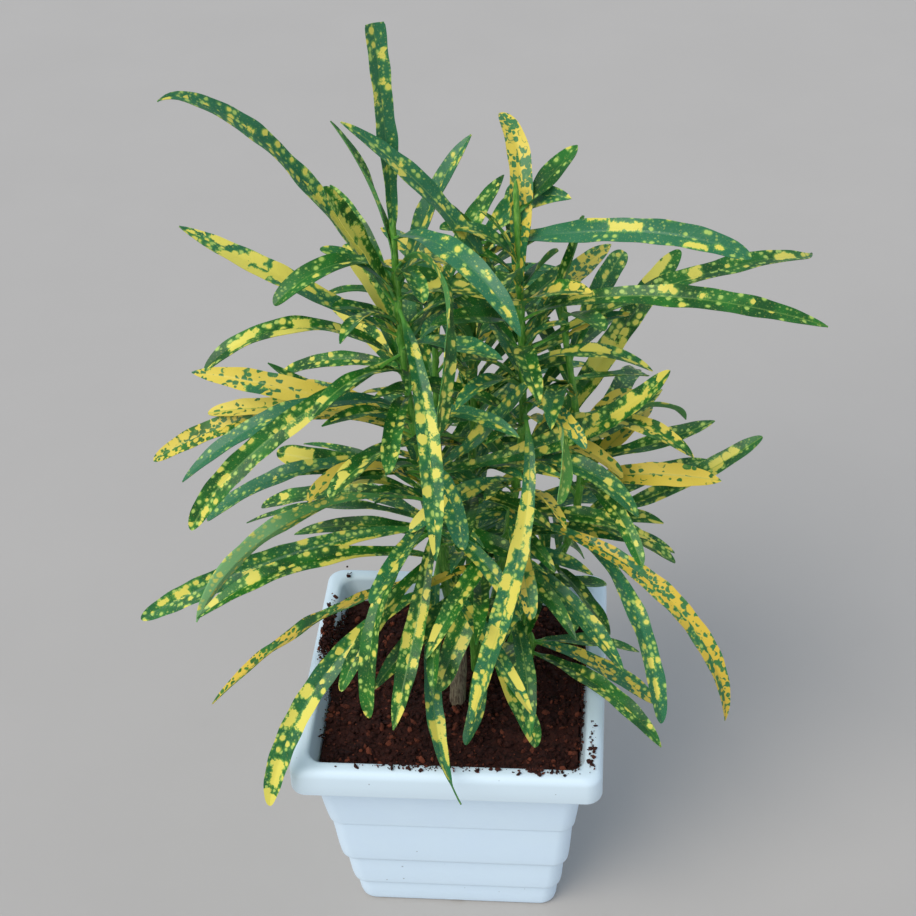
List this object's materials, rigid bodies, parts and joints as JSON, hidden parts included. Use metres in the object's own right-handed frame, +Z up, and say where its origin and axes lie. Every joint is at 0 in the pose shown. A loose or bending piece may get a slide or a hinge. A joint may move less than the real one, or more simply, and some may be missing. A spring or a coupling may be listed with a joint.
{
  "type": "potted croton",
  "caption": "Bushy croton with narrow waved leaves on slender stems, growing in a square tiered nursery pot filled with potting mix.",
  "frame": {"origin": "middle of the pot's base, on the surface it stands on", "axes": "+Z up; -Y is the front of the pot, the side the picture shows; +X is to the right seen from the front"},
  "size_m": [0.2706, 0.2102, 0.4005],
  "materials": {
    "pot": "satin",
    "soil": "matte",
    "leaves": "satin"
  },
  "bodies": {
    "root": {"pot": "pot", "soil": "soil", "leafy_stem_left": "leaves", "leafy_stem_right": "leaves", "leafy_stem_far_right": "leaves", "leafy_stem_middle": "leaves", "leafy_stem_back": "leaves", "side_shoot": "leaves"}
  },
  "joints": []
}
